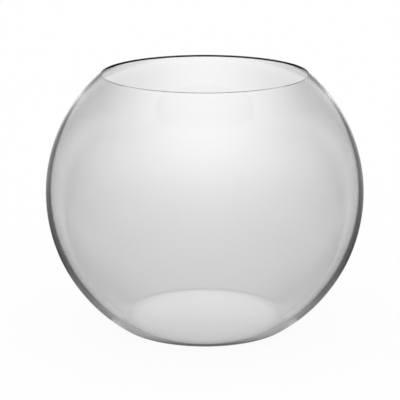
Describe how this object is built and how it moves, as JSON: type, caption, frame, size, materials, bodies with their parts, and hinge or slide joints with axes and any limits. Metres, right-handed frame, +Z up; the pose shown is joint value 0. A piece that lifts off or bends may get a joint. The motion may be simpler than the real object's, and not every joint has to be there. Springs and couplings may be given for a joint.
{
  "type": "rose bowl vase",
  "caption": "Round clear glass rose bowl: a thin-walled ball with a wide, plainly cut mouth and a flat foot, open at the top for water and flowers.",
  "frame": {"origin": "middle of the foot, on the surface that the bowl stands on", "axes": "+Z up along the bowl's axis of symmetry, through the middle of the mouth; X and Y are level and equal"},
  "size_m": [0.2, 0.2, 0.1611],
  "materials": {
    "clear_glass": "blown clear soda-lime glass, smooth all over, the rim cut square to the wall and fire-polished"
  },
  "bodies": {
    "root": {"glass_bowl": "clear_glass"}
  },
  "joints": []
}
